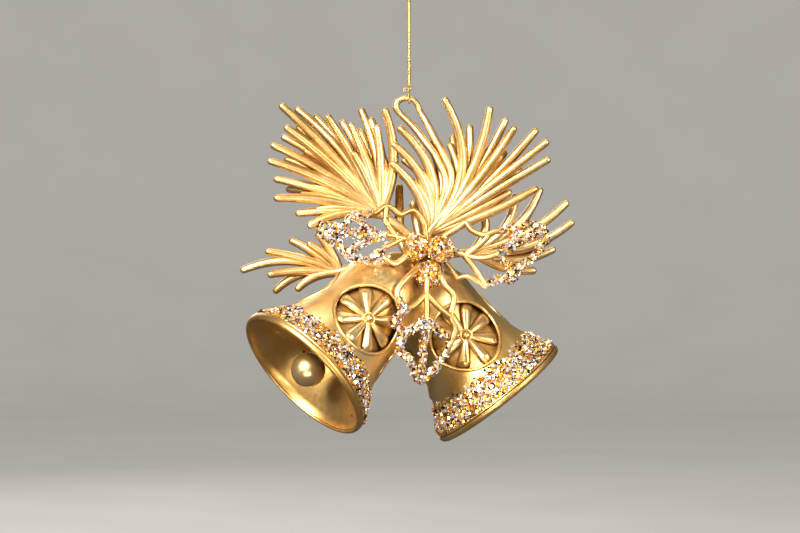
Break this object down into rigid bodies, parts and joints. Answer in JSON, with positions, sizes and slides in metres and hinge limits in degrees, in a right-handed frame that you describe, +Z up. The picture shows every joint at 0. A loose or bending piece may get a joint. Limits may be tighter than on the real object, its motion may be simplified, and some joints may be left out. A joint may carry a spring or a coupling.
{
  "type": "christmas bell ornament",
  "caption": "Tilted bells with round rosette windows and glitter bands under pine sprays, openwork holly and berries, hanging from a twisted cord.",
  "frame": {"origin": "the middle of the cord at the top of its end loop, where a hook holds it", "axes": "+Z up along the hanging cord, +X to the right seen from the front, +Y to the back through the ornament's depth"},
  "size_m": [0.1206, 0.0882, 0.1856],
  "materials": {
    "shell": "satin gold paint with fine metal flake on moulded plastic",
    "cup": "smooth satin gold paint, deeper and browner than the shell",
    "clapper": "satin gold paint on a smooth ball and rod",
    "rosette": "satin gold paint, brighter along the petal ridges",
    "leaf": "satin gold paint, with loose glitter on the tips",
    "needles": "satin gold paint with fine grain along each needle",
    "hub": "satin gold paint, dull where it is hidden",
    "glitter": "metal foil flakes, white, gold, copper and dark",
    "cord": "twisted metallic gold thread"
  },
  "bodies": {
    "hanging_cord": {"cord": "cord", "end_knot": "cord"},
    "cord_knot": {"hitch_knot": "cord"},
    "eye_hitch": {"hitch_loop": "cord"},
    "ornament": {"left_bell_shell": "shell", "right_bell_shell": "shell", "left_bell_cup": "cup", "right_bell_cup": "cup", "left_clapper": "clapper", "right_clapper": "clapper", "left_glitter_band": "glitter", "right_glitter_band": "glitter", "left_rosette_front": "rosette", "left_rosette_upper": "rosette", "left_rosette_lower": "rosette", "right_rosette_front": "rosette", "right_rosette_upper": "rosette", "right_rosette_lower": "rosette", "holly_leaf_left": "leaf", "holly_leaf_right": "leaf", "holly_leaf_bottom": "leaf", "berry_left": "glitter", "berry_right": "glitter", "berry_bottom": "glitter", "pine_spray_upper_left": "needles", "pine_spray_upper_right": "needles", "pine_spray_lower_left": "needles", "pine_spray_lower_right": "needles", "pine_needles_back": "needles", "hub": "hub", "hanging_eye": "needles"}
  },
  "joints": [
    {"name": "cord_twist", "type": "hinge", "parent": "hanging_cord", "child": "cord_knot", "pos_m": [0, 0, -0.05765], "axis": [0, 0, 1], "range_deg": [-180, 180]},
    {"name": "side_sway", "type": "hinge", "parent": "cord_knot", "child": "eye_hitch", "pos_m": [0, 0, -0.05765], "axis": [0, 1, 0], "range_deg": [-25, 25]},
    {"name": "fore_aft_swing", "type": "hinge", "parent": "eye_hitch", "child": "ornament", "pos_m": [0, 0, -0.061], "axis": [1, 0, 0], "range_deg": [-35, 35]}
  ]
}
